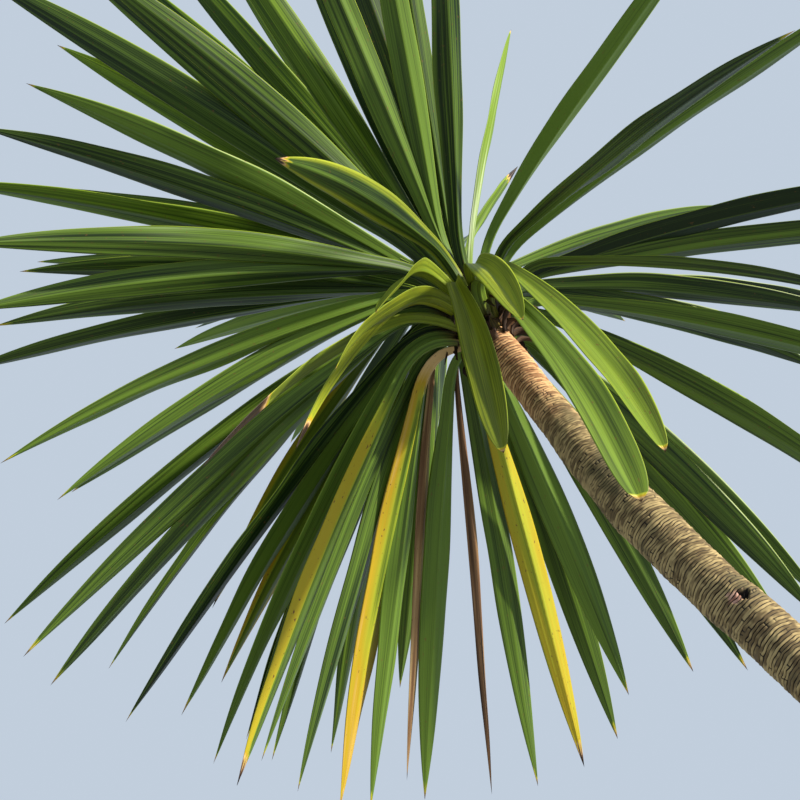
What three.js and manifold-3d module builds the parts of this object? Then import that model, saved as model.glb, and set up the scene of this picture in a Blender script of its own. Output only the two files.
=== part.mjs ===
// Cabbage tree: one slim leaning trunk that carries a single head of long strap leaves.
// Millimetres, +Z up. The origin is the middle of the flat cut at ground level.
// Leaves follow one spiral up the stem, oldest and lowest first, and each is numbered by its rank in it.
import * as THREE from "three";
import Module from "manifold-3d";

const wasm = await Module();
wasm.setup();

// Trunk
const TRUNK_LENGTH = 2750; // foot to the lowest leaf, along the curve
const FOOT_TILT = 5; // degrees from upright at the foot, at the belly of the curve and under the head
const BELLY_TILT = 40;
const NECK_TILT = 29;
const BELLY_AT = 0.74; // share of the trunk's length
const LEAN_COMPASS = 152; // degrees from +X to the side that the trunk leans to
const PATH_STEPS = 120;
const STEM_RADIUS = 24; // where the leaves stand
const WAIST_GAIN = 9; // more radius a little way below the head
const WAIST_DROP = 400;
const LOWER_GAIN = 16; // more radius from there down to the foot
const FLARE_GAIN = 34; // the root flare
const FLARE_HEIGHT = 110;
const SWELL_SHARE = 0.03; // slow swellings along the bark
const SWELL_LENGTH = 310;
const TRUNK_SIDES = 20;
const TRUNK_RING_STEP = 3; // path steps from ring to ring

// Head
const LEAF_COUNT = 90;
const GOLDEN_ANGLE = 137.508;
const FIRST_COMPASS = 20;
const CROWN_HEIGHT = 150; // oldest leaf to youngest, along the stem
const HEART_RANK = 65; // leaves from this rank on are fused into the heart of the head
const TIP_RADIUS = 13; // the stem at the youngest leaf
const TAPER_FROM = 80; // height in the head where the stem starts to narrow
const SPEAR_LENGTH = 330; // furled leaves above the youngest open one
const SPEAR_RADIUS = 9;
const SPEAR_END_RADIUS = 1.5;
const SPEAR_SIDES = 10;
const JOINT_GAP = 0.3;
const ROOT_SINK = 7; // how far the youngest leaves reach into the heart

// Leaf
const LEAF_LENGTH = 720;
const LEAF_WIDTH = 46;
const ROOT_WIDTH = 12;
const NECK_SHARE = 0.52; // the blade's width at its neck, as a share of its full width
const NECK_AT = 0.09;
const WIDEST_AT = 0.5;
const TIP_POWER = 2.5;
const THICKNESS_SHARE = 1 / 97; // the midrib's thickness, as a share of the leaf's length
const ROOT_THICKNESS = 2.6;
const THICK_FROM = 0.14; // share of the length where the midrib has its full thickness
const CHANNEL_FOLD = 0.55; // how far the edges stand up beside the midrib, as a share of the half width
const BLADE_FOLD = 0.15;
const YOUNG_OPENING = 12; // degrees between a leaf and the stem
const OLD_OPENING = 128;
const OPENING_POWER = 0.9;
const LOW_SIDE_OPENING = 34; // more for leaves on the side that sags
const LOW_SIDE_COMPASS = 222;
const YOUNG_START = 16; // the same angle where the leaf leaves the stem
const OLD_START = 50;
const BEND_LENGTH = 130; // a leaf turns from its start to its opening over this length
const YOUNG_DROOP = 0.1;
const OLD_DROOP = 0.35;
const DROOP_POWER = 1.3;
const SIDE_SWING = -18; // old leaves on one side hang round together
const SIDE_COMPASS = 318;
const SIDE_SPREAD = 34;
const SIDE_RANK = 42;
const TWIST = 16; // degrees at the tip, at most
const LEAF_STEPS = 36;
const LEAF_RINGS = [0, 1, 2, 3, 5, 7, 10, 14, 18, 23, 28, 32, 34];

// Leaves that fell: the head is open toward this side.
const SHED = [11, 29, 32, 40, 45, 50, 53, 58, 61, 69];
const YELLOW = [4, 7];
const DRY = [25, 33];

// Leaves that do not lie as their neighbours do, by rank: bent over, short, hanging dry or turned aside.
// Swing and opening are in degrees, length in millimetres, wide is a share of the usual width.
const ODD_LEAVES = {
  0: { swing: 8, opening: 156, droop: 0.9, length: 660 },
  1: { swing: 6, opening: 137 },
  2: { swing: -25, opening: 123, length: 740 },
  3: { swing: 8, opening: 137 },
  5: { swing: -4, opening: 112, droop: 0.9, length: 440 },
  7: { swing: -16, opening: 122, droop: 0.2, length: 740 },
  8: { swing: -1, opening: 157, droop: 0.9, length: 600 },
  10: { swing: 14, opening: 113, droop: 0.6, length: 620 },
  12: { swing: 2, opening: 119, droop: 0.6, length: 740, wide: 1 },
  13: { swing: -8, opening: 155, droop: 1.0, length: 500 },
  14: { swing: -12, opening: 139 },
  15: { swing: -10, opening: 120, length: 740 },
  16: { swing: -5, opening: 113 },
  18: { swing: -1, opening: 121, droop: 0.9, length: 550 },
  20: { swing: 8, opening: 124, droop: 0.2, length: 740 },
  21: { swing: 0, opening: 141, droop: 1.0, length: 340 },
  22: { swing: -4, opening: 127 },
  23: { swing: -14, opening: 103, length: 800 },
  25: { swing: 6, opening: 126, droop: 0.4, length: 760, wide: 0.4 },
  26: { swing: -1, opening: 112, droop: 1.0, length: 360 },
  28: { swing: 7, opening: 110 },
  30: { swing: 19, opening: 125 },
  33: { swing: -2, opening: 125, droop: 0.2, length: 740, wide: 0.5 },
  34: { swing: -18, opening: 101, length: 600 },
  35: { swing: -7, opening: 89 },
  36: { swing: 0, opening: 99, length: 800 },
  38: { swing: 11, opening: 129, droop: 0.6 },
  39: { swing: -18, opening: 79 },
  41: { swing: 2, opening: 123, length: 740 },
  46: { swing: 4, opening: 112 },
  47: { swing: -8, opening: 64, length: 760 },
  48: { swing: -1, opening: 69 },
  49: { swing: -1, opening: 102, droop: 0.5 },
  54: { swing: 2, opening: 123, droop: 0.2, length: 740 },
  57: { swing: -2, opening: 70, length: 760 },
  60: { swing: -12, opening: 46, length: 840, wide: 1.15 },
  65: { swing: 3, opening: 66 },
  66: { swing: 0, opening: 38, length: 500, wide: 0.45 },
  73: { swing: -2, opening: 47 },
  74: { swing: 6, opening: 47, length: 300, wide: 0.6 },
  75: { swing: 4, opening: 50, length: 600 },
  78: { swing: 0, opening: 48 },
  81: { swing: -12, opening: 34, length: 760 },
  86: { swing: 0, opening: 11, length: 720 },
};

const matt = (color, roughness) => new THREE.MeshStandardMaterial({ color, roughness, metalness: 0 });
const BARK = matt(0x8a6a48, 0.95);
const GREEN_LEAF = matt(0x4f7a2a, 0.4);
const YOUNG_LEAF = matt(0x86a84a, 0.4);
const YELLOW_LEAF = matt(0xd0ab2c, 0.5);
const DRY_LEAF = matt(0x7a5c42, 0.85);

const UP = new THREE.Vector3(0, 0, 1);
const radians = THREE.MathUtils.degToRad;
const mix = THREE.MathUtils.lerp;
const along = (point, direction, distance) => point.clone().addScaledVector(direction, distance);

function smooth(t) {
  const x = Math.min(1, Math.max(0, t));
  return x * x * (3 - 2 * x);
}

// A generator of even random numbers from 0 to 1, the same on every run.
function dice(seed) {
  let state = seed >>> 0;
  return () => {
    state = (state + 0x6d2b79f5) >>> 0;
    let t = Math.imul(state ^ (state >>> 15), state | 1);
    t ^= t + Math.imul(t ^ (t >>> 7), t | 61);
    return ((t ^ (t >>> 14)) >>> 0) / 4294967296;
  };
}

// The direction at an angle from +Z, toward a compass angle from +X.
function leaning(tilt, compass) {
  const level = Math.sin(tilt);
  return new THREE.Vector3(level * Math.cos(compass), level * Math.sin(compass), Math.cos(tilt));
}

function tiltAt(share) {
  if (share < BELLY_AT) return mix(FOOT_TILT, BELLY_TILT, smooth(share / BELLY_AT));
  return mix(BELLY_TILT, NECK_TILT, smooth((share - BELLY_AT) / (1 - BELLY_AT)));
}

// The trunk's middle line, and its direction at each point of it.
function trunkPath() {
  const points = [new THREE.Vector3()];
  const directions = [UP];
  for (let k = 0; k < PATH_STEPS; k++) {
    const direction = leaning(radians(tiltAt((k + 0.5) / PATH_STEPS)), radians(LEAN_COMPASS));
    points.push(along(points[k], direction, TRUNK_LENGTH / PATH_STEPS));
    directions.push(direction);
  }
  return { points, directions };
}

const PATH = trunkPath();
const CROWN_BASE = PATH.points[PATH_STEPS];
const AXIS = PATH.directions[PATH_STEPS];
const SIDE = UP.clone().cross(AXIS).normalize();

// Radius of the trunk at a height along it, from the foot.
function trunkRadius(height) {
  const below = TRUNK_LENGTH - height;
  const lower = Math.max(0, below - WAIST_DROP) / (TRUNK_LENGTH - WAIST_DROP);
  const waist = smooth(below / WAIST_DROP);
  const plain = STEM_RADIUS + WAIST_GAIN * waist + LOWER_GAIN * lower;
  const swell = 1 + SWELL_SHARE * waist * Math.sin((2 * Math.PI * below) / SWELL_LENGTH);
  return plain * swell + FLARE_GAIN * Math.exp(-height / FLARE_HEIGHT);
}

// Radius of the stem at a height above the lowest leaf.
const stemRadius = (height) =>
  mix(STEM_RADIUS, TIP_RADIUS, Math.max(0, height - TAPER_FROM) / (CROWN_HEIGHT - TAPER_FROM));

// Height of a leaf's root above the lowest one's.
const heightOf = (rank) => (CROWN_HEIGHT * rank) / (LEAF_COUNT - 1);
const TRUNK_TOP = heightOf(HEART_RANK - 1);

// Joins rings of points, all of the same count, into one closed geometry. A tip closes it to a point.
function skin(rings, tip) {
  const count = rings[0].length;
  const points = rings.flat();
  const faces = [];
  for (let k = 0; k + 1 < rings.length; k++)
    for (let i = 0; i < count; i++) {
      const a = k * count + i;
      const b = k * count + ((i + 1) % count);
      faces.push(a, b, b + count, a, b + count, a + count);
    }
  for (let i = 1; i + 1 < count; i++) faces.push(0, i + 1, i);
  const last = (rings.length - 1) * count;
  if (tip) points.push(tip);
  for (let i = 0; i < count; i++)
    if (tip) faces.push(last + i, last + ((i + 1) % count), points.length - 1);
    else if (i > 0 && i + 1 < count) faces.push(last, last + i, last + i + 1);
  const geometry = new THREE.BufferGeometry().setFromPoints(points);
  geometry.setIndex(faces);
  return geometry;
}

// A ring of points round a middle, square to a direction.
function circle(middle, direction, radius, sides) {
  const across = SIDE.clone().projectOnPlane(direction).normalize();
  const other = direction.clone().cross(across);
  return Array.from({ length: sides }, (_, i) => {
    const angle = (2 * Math.PI * i) / sides;
    return along(along(middle, across, radius * Math.cos(angle)), other, radius * Math.sin(angle));
  });
}

function makeTrunk() {
  const rings = [];
  for (let k = 0; k <= PATH_STEPS; k += TRUNK_RING_STEP) {
    const radius = trunkRadius((TRUNK_LENGTH * k) / PATH_STEPS);
    rings.push(circle(PATH.points[k], PATH.directions[k], radius, TRUNK_SIDES));
  }
  for (const height of [TAPER_FROM, TRUNK_TOP])
    rings.push(circle(along(CROWN_BASE, AXIS, height), AXIS, stemRadius(height), TRUNK_SIDES));
  const trunk = new THREE.Mesh(skin(rings), BARK);
  trunk.name = "trunk";
  return trunk;
}

// The head stands on the trunk's upper end, with its own +Z up the stem.
const head = new THREE.Group();
head.position.copy(CROWN_BASE);
head.quaternion.setFromRotationMatrix(new THREE.Matrix4().makeBasis(SIDE, AXIS.clone().cross(SIDE), AXIS));

// How one leaf lies: its own random draws, then an odd leaf's own values.
function leafHabit(rank) {
  const roll = dice(1000 + rank);
  const draw = Array.from({ length: 6 }, () => roll() * 2 - 1);
  const age = 1 - rank / (LEAF_COUNT - 1);
  const compass = FIRST_COMPASS + GOLDEN_ANGLE * rank;
  const aside = THREE.MathUtils.euclideanModulo(compass - SIDE_COMPASS + 180, 360) - 180;
  const gathered = rank < SIDE_RANK ? SIDE_SWING * Math.exp(-((aside / SIDE_SPREAD) ** 2)) : 0;
  const low = Math.max(0, Math.cos(radians(compass - LOW_SIDE_COMPASS))) ** 2;
  const opened = mix(YOUNG_OPENING, OLD_OPENING, age ** OPENING_POWER) + LOW_SIDE_OPENING * low;
  return {
    age,
    compass: radians(compass),
    swing: gathered + 3 * draw[0],
    opening: Math.min(OLD_OPENING, opened) + 3 * draw[1],
    length: LEAF_LENGTH * (1 + 0.08 * draw[2]),
    droop: mix(YOUNG_DROOP, OLD_DROOP, age) * (1 + 0.4 * draw[3]),
    twist: TWIST * draw[4],
    wide: 1 + 0.08 * draw[5],
    ...ODD_LEAVES[rank],
  };
}

const startOf = (habit) => radians(Math.min(habit.opening, mix(YOUNG_START, OLD_START, habit.age)));

// The leaf's middle line from its root, with +X out from the stem, +Y across the blade and +Z up the stem.
function leafLine(habit) {
  const turn = head.quaternion.clone().multiply(new THREE.Quaternion().setFromAxisAngle(UP, habit.compass));
  const down = UP.clone().negate().applyQuaternion(turn.invert());
  const point = new THREE.Vector3();
  const wide = new THREE.Vector3(0, 1, 0);
  let before = null;
  const line = [];
  for (let k = 0; k <= LEAF_STEPS; k++) {
    const turned = smooth((habit.length * k) / LEAF_STEPS / BEND_LENGTH);
    const opening = mix(startOf(habit), radians(habit.opening), turned);
    const direction = leaning(opening, radians(habit.swing * turned));
    direction.addScaledVector(down, habit.droop * (k / LEAF_STEPS) ** DROOP_POWER).normalize();
    if (before) wide.applyQuaternion(new THREE.Quaternion().setFromUnitVectors(before, direction));
    const twisted = wide.clone().applyAxisAngle(direction, (radians(habit.twist) * k) / LEAF_STEPS);
    line.push({ point: point.clone(), direction, wide: twisted });
    point.addScaledVector(direction, habit.length / LEAF_STEPS);
    before = direction;
  }
  return line;
}

// The blade's width along it, as a share of its full width.
function widthShare(share) {
  if (share < NECK_AT) return mix(ROOT_WIDTH / LEAF_WIDTH, NECK_SHARE, smooth(share / NECK_AT));
  if (share < WIDEST_AT) return mix(NECK_SHARE, 1, smooth((share - NECK_AT) / (WIDEST_AT - NECK_AT)));
  return 1 - ((share - WIDEST_AT) / (1 - WIDEST_AT)) ** TIP_POWER;
}

const foldShare = (share) =>
  mix(CHANNEL_FOLD * smooth(share / NECK_AT), BLADE_FOLD, smooth((share - NECK_AT) / WIDEST_AT));

// A blade of four-cornered rings: two edges, and a midrib with a lower and an upper side.
function leafGeometry(habit) {
  const line = leafLine(habit);
  const rings = LEAF_RINGS.map((k) => {
    const { point, direction, wide } = line[k];
    const share = k / LEAF_STEPS;
    const half = (LEAF_WIDTH * habit.wide * widthShare(share)) / 2;
    const rib = mix(ROOT_THICKNESS, habit.length * THICKNESS_SHARE, smooth(share / THICK_FROM));
    const thick = rib * Math.min(1, 3 * (1 - share));
    const face = direction.clone().cross(wide);
    const middle = along(point, face, half * foldShare(share));
    return [
      along(middle, wide, -half),
      along(point, face, -thick / 2),
      along(middle, wide, half),
      along(point, face, thick / 2),
    ];
  });
  return skin(rings, line[LEAF_STEPS].point);
}

// A leaf stands against the stem with a hairline gap, or is sunk into the heart.
function makeLeaf(rank, material) {
  const habit = leafHabit(rank);
  const leaf = new THREE.Mesh(leafGeometry(habit), material);
  const height = heightOf(rank);
  const gap = JOINT_GAP + (ROOT_THICKNESS / 2) * Math.cos(startOf(habit));
  const seat = stemRadius(height) + (rank < HEART_RANK ? gap : -ROOT_SINK);
  leaf.name = "leaf_" + String(rank).padStart(2, "0");
  leaf.position.set(seat * Math.cos(habit.compass), seat * Math.sin(habit.compass), height);
  leaf.rotation.z = habit.compass;
  return leaf;
}

// A placed mesh as a solid that can be joined to others.
function solidOf(mesh) {
  mesh.updateMatrix();
  const placed = mesh.geometry.clone().applyMatrix4(mesh.matrix);
  const vertProperties = placed.getAttribute("position").array;
  const triVerts = Uint32Array.from(placed.index.array);
  return new wasm.Manifold(new wasm.Mesh({ numProp: 3, vertProperties, triVerts }));
}

function geometryOf(solid) {
  const mesh = solid.getMesh();
  const geometry = new THREE.BufferGeometry();
  geometry.setAttribute("position", new THREE.BufferAttribute(mesh.vertProperties, mesh.numProp));
  geometry.setIndex(new THREE.BufferAttribute(mesh.triVerts, 1));
  return geometry;
}

// The growing tip: the stem's end and the furled spear on it.
function makeTip() {
  const stem = [TRUNK_TOP + JOINT_GAP, CROWN_HEIGHT].map((height) => [height, stemRadius(height)]);
  const spear = [0.15, 0.5, 0.8, 1].map((share) => [
    CROWN_HEIGHT + SPEAR_LENGTH * share,
    mix(SPEAR_RADIUS, SPEAR_END_RADIUS, share ** 2),
  ]);
  const rings = [...stem, ...spear].map(([height, radius]) =>
    Array.from({ length: SPEAR_SIDES }, (_, i) => {
      const angle = (2 * Math.PI * i) / SPEAR_SIDES;
      return new THREE.Vector3(radius * Math.cos(angle), radius * Math.sin(angle), height);
    }),
  );
  return new THREE.Mesh(skin(rings), YOUNG_LEAF);
}

// The youngest leaves stand out of the growing tip and are one solid with it.
function makeHeart(ranks) {
  const whole = ranks.reduce((joined, rank) => joined.add(solidOf(makeLeaf(rank, YOUNG_LEAF))), solidOf(makeTip()));
  const heart = new THREE.Mesh(geometryOf(whole), YOUNG_LEAF);
  heart.name = "heart";
  return heart;
}

function leafMaterial(rank) {
  if (DRY.includes(rank)) return DRY_LEAF;
  return YELLOW.includes(rank) ? YELLOW_LEAF : GREEN_LEAF;
}

const standing = Array.from({ length: LEAF_COUNT }, (_, rank) => rank).filter((rank) => !SHED.includes(rank));
for (const rank of standing.filter((rank) => rank < HEART_RANK)) head.add(makeLeaf(rank, leafMaterial(rank)));
head.add(makeHeart(standing.filter((rank) => rank >= HEART_RANK)));

const tree = new THREE.Group();
tree.add(makeTrunk(), head);

export default tree;
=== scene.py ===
# %% [markdown]
# # A young cabbage tree, seen from under its head
# The real plant is a slim woody stem that carries one round head of long strap leaves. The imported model
# holds plain solids for the trunk, the leaves and the heart of the head. This lesson dresses them: ringed
# bark goes round the trunk, and every leaf becomes a thin ribbed blade that follows the same middle line.

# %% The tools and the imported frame
import math

import bpy
import numpy as np
from mathutils import Matrix, Quaternion, Vector


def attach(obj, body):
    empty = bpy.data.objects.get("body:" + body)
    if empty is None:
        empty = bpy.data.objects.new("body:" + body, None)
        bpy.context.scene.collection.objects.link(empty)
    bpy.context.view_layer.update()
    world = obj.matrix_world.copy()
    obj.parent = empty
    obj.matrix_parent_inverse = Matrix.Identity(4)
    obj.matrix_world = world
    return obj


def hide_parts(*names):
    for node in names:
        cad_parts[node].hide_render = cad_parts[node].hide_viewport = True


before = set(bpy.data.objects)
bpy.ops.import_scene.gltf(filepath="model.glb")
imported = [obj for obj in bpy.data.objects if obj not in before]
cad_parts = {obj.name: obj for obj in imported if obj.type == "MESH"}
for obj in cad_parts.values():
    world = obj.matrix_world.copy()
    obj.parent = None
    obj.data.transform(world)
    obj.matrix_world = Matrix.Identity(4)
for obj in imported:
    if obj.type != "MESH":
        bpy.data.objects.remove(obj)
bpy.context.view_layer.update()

# %% [markdown]
# ## Small helpers
# A plant is never quite even, so most shapes below add smooth noise to a plain rule. Blender has noise
# textures, but a mesh built in numpy needs noise as numbers: a table of random values with smooth steps
# between them. The table wraps round, so noise that runs round a trunk meets itself again without a seam.

# %% Mixing, smoothing and noise
NOISE_SIZE = 512


def mix(low, high, share):
    return low + (high - low) * share


def smooth(value):
    x = np.clip(value, 0.0, 1.0)
    return x * x * (3.0 - 2.0 * x)


def noise(x, y, seed, wrap=NOISE_SIZE):
    """Smooth noise from -1 to 1 with a bump in each unit of x and y. It repeats after `wrap` units of x."""
    table = np.random.default_rng(seed).uniform(-1.0, 1.0, (NOISE_SIZE, NOISE_SIZE))
    column = np.floor(x).astype(int)
    row = np.floor(y).astype(int)
    across = smooth(x - column)
    left, right = column % wrap, (column + 1) % wrap
    low, high = row % NOISE_SIZE, (row + 1) % NOISE_SIZE
    lower = mix(table[low, left], table[low, right], across)
    upper = mix(table[high, left], table[high, right], across)
    return mix(lower, upper, smooth(y - row))


def noise_round(around, bumps, along, seed):
    """Noise with so many bumps round the trunk, where `around` runs from 0 to 1."""
    return noise(around * bumps, along, seed, bumps)


print("noise at three places:", np.round(noise(np.array([0.2, 1.4, 2.9]), np.full(3, 0.5), 1), 3))

# %% [markdown]
# ## One way to make every mesh
# Trunk, leaves and scraps of old sheath are all rows of cross sections with a skin over them, closed to a
# point at both ends. A bevelled curve could make them too, but its section can't change along the way as a
# leaf's does. The same rows and places then give each face its spot on a map, which is how the finishes
# know where the edge, the midrib and the tip of a leaf are.


# %% A skin over cross sections
def skin(name, bodies):
    """One mesh of closed skins. Each body is (start point, rings of shape (rows, places, 3), end point)."""
    rows, places = bodies[0][1].shape[:2]
    corner = np.arange(rows * places).reshape(rows, places)
    beside = np.roll(corner, -1, axis=1)
    quads = np.stack([corner[:-1], beside[:-1], beside[1:], corner[1:]], axis=-1).reshape(-1, 4)
    start, end = np.full(places, rows * places), np.full(places, rows * places + 1)
    first = np.stack([start, beside[0], corner[0]], axis=-1)
    last = np.stack([end, corner[-1], beside[-1]], axis=-1)
    points, faces = [], []
    for number, (body_start, rings, body_end) in enumerate(bodies):
        base = number * (rows * places + 2)
        points.append(np.vstack([rings.reshape(-1, 3), body_start, body_end]))
        faces += (quads + base).tolist() + (first + base).tolist() + (last + base).tolist()
    mesh = bpy.data.meshes.new(name)
    mesh.from_pydata(np.vstack(points).tolist(), [], faces)
    mesh.shade_smooth()
    piece = bpy.data.objects.new(name, mesh)
    bpy.context.scene.collection.objects.link(piece)
    return piece


print("skin ready")


# %% A map over a skin, and a number on each of its points
def inset(share, edge=0.01):
    """Keeps a map's 0 to 1 clear of its edges, so that baked colours don't bleed over them."""
    return edge + (1.0 - 2.0 * edge) * share


def lay_map(piece, name, rows, places, spot):
    """Adds a UV map. spot(row, place, of_row) gives the u and v of a face's corner.

    All corners of a face share of_row, the row that it starts at, so no face is torn between two strips.
    """
    row, place = np.meshgrid(np.arange(rows - 1.0), np.arange(float(places)), indexing="ij")
    quad_rows = np.stack([row, row, row + 1, row + 1], axis=-1).ravel()
    quad_places = np.stack([place, place + 1, place + 1, place], axis=-1).ravel()
    ends = np.arange(float(places))
    first_places = np.stack([ends + 0.5, ends + 1, ends], axis=-1).ravel()
    last_places = np.stack([ends + 0.5, ends, ends + 1], axis=-1).ravel()
    first_rows = np.tile([-1.0, 0.0, 0.0], places)
    last_rows = np.tile([float(rows), rows - 1.0, rows - 1.0], places)
    u, v = spot(
        np.concatenate([quad_rows, first_rows, last_rows]),
        np.concatenate([quad_places, first_places, last_places]),
        np.concatenate([np.repeat(row.ravel(), 4), np.zeros(3 * places), np.full(3 * places, rows - 2.0)]),
    )
    layer = piece.data.uv_layers.new(name=name)
    bodies = len(layer.uv) // len(u)
    layer.uv.foreach_set("vector", np.tile(np.stack([u, v], axis=-1).ravel(), bodies))


def mark_points(piece, name, values):
    """Stores one number for each point of a mesh, for its finish to read."""
    attribute = piece.data.attributes.new(name, "FLOAT", "POINT")
    attribute.data.foreach_set("value", np.asarray(values, float).ravel())


print("a map runs from", inset(0.0), "to", inset(1.0))

# %% [markdown]
# ## The trunk's line and the camera
# The solids' trunk leans over in one long curve, and everything else hangs on it, so its rule comes first.
# It is repeated here and not read from the solid's mesh, because the bark and the leaves need its direction
# as well.

# %% Trunk line, the same rule as the solids follow
TRUNK_LENGTH = 2.750
FOOT_TILT, BELLY_TILT, NECK_TILT = 5.0, 40.0, 29.0
BELLY_AT = 0.74
LEAN_COMPASS = 152.0
PATH_STEPS = 120
UP = Vector((0.0, 0.0, 1.0))


def leaning(tilt, compass):
    """The direction at an angle from +Z, toward a compass angle from +X, both in radians."""
    level = math.sin(tilt)
    return Vector((level * math.cos(compass), level * math.sin(compass), math.cos(tilt)))


def tilt_at(share):
    """Degrees from upright at a share of the length of the trunk."""
    if share < BELLY_AT:
        return mix(FOOT_TILT, BELLY_TILT, smooth(share / BELLY_AT))
    return mix(BELLY_TILT, NECK_TILT, smooth((share - BELLY_AT) / (1.0 - BELLY_AT)))


path_points, path_directions = [Vector((0.0, 0.0, 0.0))], [UP]
for step in range(PATH_STEPS):
    heading = leaning(math.radians(tilt_at((step + 0.5) / PATH_STEPS)), math.radians(LEAN_COMPASS))
    path_points.append(path_points[-1] + heading * (TRUNK_LENGTH / PATH_STEPS))
    path_directions.append(heading)

CROWN_BASE, AXIS = path_points[-1], path_directions[-1]
SIDE = UP.cross(AXIS).normalized()
print("head starts at", np.round(CROWN_BASE, 3), "along", np.round(AXIS, 3))

# %% [markdown]
# The picture is taken from beside the trunk, up into the head, with a lens of ordinary reach. The head's
# middle sits right of the picture's middle and above it, so the camera is set back from that point along
# its own axes by similar triangles. Tracking the camera to a target would be shorter, but would centre the
# head.

# %% The camera
IMAGE_SIDE = 800.0
LENS, SENSOR = 50.0, 24.0
CAMERA_PITCH = 30.0
CAMERA_DISTANCE = 2.42
NEAREST_SEEN = 0.01
HEART_HEIGHT = 0.075
HEART_PIXEL = (472.0, 309.0)

camera_data = bpy.data.cameras.new("camera")
camera_data.lens = LENS
camera_data.sensor_width = SENSOR
camera_data.clip_start = NEAREST_SEEN
camera = bpy.data.objects.new("camera", camera_data)
camera.rotation_euler = (math.radians(90.0 + CAMERA_PITCH), 0.0, 0.0)
per_pixel = CAMERA_DISTANCE * SENSOR / LENS / IMAGE_SIDE
right_by = (HEART_PIXEL[0] - IMAGE_SIDE / 2) * per_pixel
down_by = (HEART_PIXEL[1] - IMAGE_SIDE / 2) * per_pixel
heart_middle = CROWN_BASE + AXIS * HEART_HEIGHT
camera_turn = camera.rotation_euler.to_matrix()
camera.location = heart_middle - camera_turn @ Vector((right_by, -down_by, -CAMERA_DISTANCE))
bpy.context.scene.collection.objects.link(camera)
bpy.context.scene.camera = camera
print("camera at", np.round(camera.location, 3), "-", round(per_pixel * 1000, 2), "mm per pixel")

# %% [markdown]
# ## Bark
# The stem of such a tree keeps a scar for every leaf that it has dropped. The scars are fine rings, a few
# millimetres apart: a thin light plate, then a dark groove. They waver and are cut by short cracks along
# the stem. A bump map would give the look from the front but a smooth outline, so the rings are real relief
# here. The rows of the mesh follow the wavering rings themselves, five rows to a ring, so each plate keeps
# a sharp edge with few faces. Rows at even heights would need three times as many to show the same edge.

# %% Trunk sizes and ring spacing
STEM_RADIUS = 0.024
WAIST_GAIN, WAIST_DROP = 0.009, 0.400
LOWER_GAIN = 0.016
FLARE_GAIN, FLARE_HEIGHT = 0.034, 0.110
SWELL_SHARE, SWELL_LENGTH = 0.03, 0.310
CROWN_HEIGHT = 0.150
TAPER_FROM, TIP_RADIUS = 0.080, 0.013
YOUNG_RING, GROWN_RING, FOOT_RING = 0.0048, 0.0033, 0.0098
RING_GROWS_OVER = 0.25
PITCH_SAMPLES = 20001

below_head = np.linspace(-CROWN_HEIGHT, TRUNK_LENGTH, PITCH_SAMPLES)
ring_pitch = mix(YOUNG_RING, GROWN_RING, smooth(below_head / RING_GROWS_OVER))
ring_pitch = mix(ring_pitch, FOOT_RING, np.clip(below_head / TRUNK_LENGTH, 0.0, 1.0))
ring_count = np.cumsum(np.gradient(below_head) / ring_pitch)


def trunk_radius(below):
    """Radius of the trunk at a distance below the lowest leaf, or above it where that is negative."""
    lower = np.maximum(0.0, below - WAIST_DROP) / (TRUNK_LENGTH - WAIST_DROP)
    waist = smooth(below / WAIST_DROP)
    plain = STEM_RADIUS + WAIST_GAIN * waist + LOWER_GAIN * lower
    swell = 1.0 + SWELL_SHARE * waist * np.sin(2.0 * math.pi * below / SWELL_LENGTH)
    trunk = plain * swell + FLARE_GAIN * np.exp(-(TRUNK_LENGTH - below) / FLARE_HEIGHT)
    taper = np.maximum(0.0, -below - TAPER_FROM) / (CROWN_HEIGHT - TAPER_FROM)
    return np.where(below > 0.0, trunk, mix(STEM_RADIUS, TIP_RADIUS, taper))


print("rings on the trunk:", int(ring_count[-1]))

# %% Where the rows of a ring lie, and how high each stands
ROW_PLACES = np.array([0.00, 0.30, 0.53, 0.63, 0.87])
ROW_HEIGHTS = np.array([0.55, 0.85, 1.00, 0.00, 0.00])
PLATE_HEIGHT = 0.0023
WANDER_RINGS, RIPPLE_RINGS, YOUNG_WAVER = 0.6, 0.25, 0.5
END_RINGS = 4.0


def wavering(ring, around):
    """Rings by which a place on the trunk is put out of line. It fades to none at the trunk's two ends."""
    near_end = np.clip(np.minimum(ring - ring_count[0], ring_count[-1] - ring) / END_RINGS, 0.0, 1.0)
    grown = smooth(np.interp(ring, ring_count, below_head) / RING_GROWS_OVER)
    slow = WANDER_RINGS * noise_round(around, 6, ring / 9.0, 1)
    quick = RIPPLE_RINGS * noise_round(around, 32, ring / 2.2, 2)
    return near_end * mix(YOUNG_WAVER, 1.0, grown) * (slow + quick)


print("a ring's plate stands", PLATE_HEIGHT * 1000, "mm over its groove")

# %% [markdown]
# ## The knot
# Something has broken out of this stem and left a dark hole, a swelling and a torn pink rim. A boolean
# could cut the hole, but would break up the rows of the mesh. As one more term of the relief the knot
# leaves them whole.

# %% The knot on the trunk
KNOT_BELOW, KNOT_TURN = 0.572, 33.0
KNOT_HOLE, KNOT_DEPTH = 0.0055, 0.0100
KNOT_SWELL, KNOT_SWELL_SIZE, KNOT_SWELL_OVER = 0.0050, 0.024, 0.006
TEAR_OVER, TEAR_BESIDE, TEAR_SIZE, TEAR_DEPTH = 0.004, 0.013, 0.011, 0.0015
RAGGED, RAG_LENGTH, FINE_RAG_LENGTH = 0.35, 0.006, 0.0028


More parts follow.
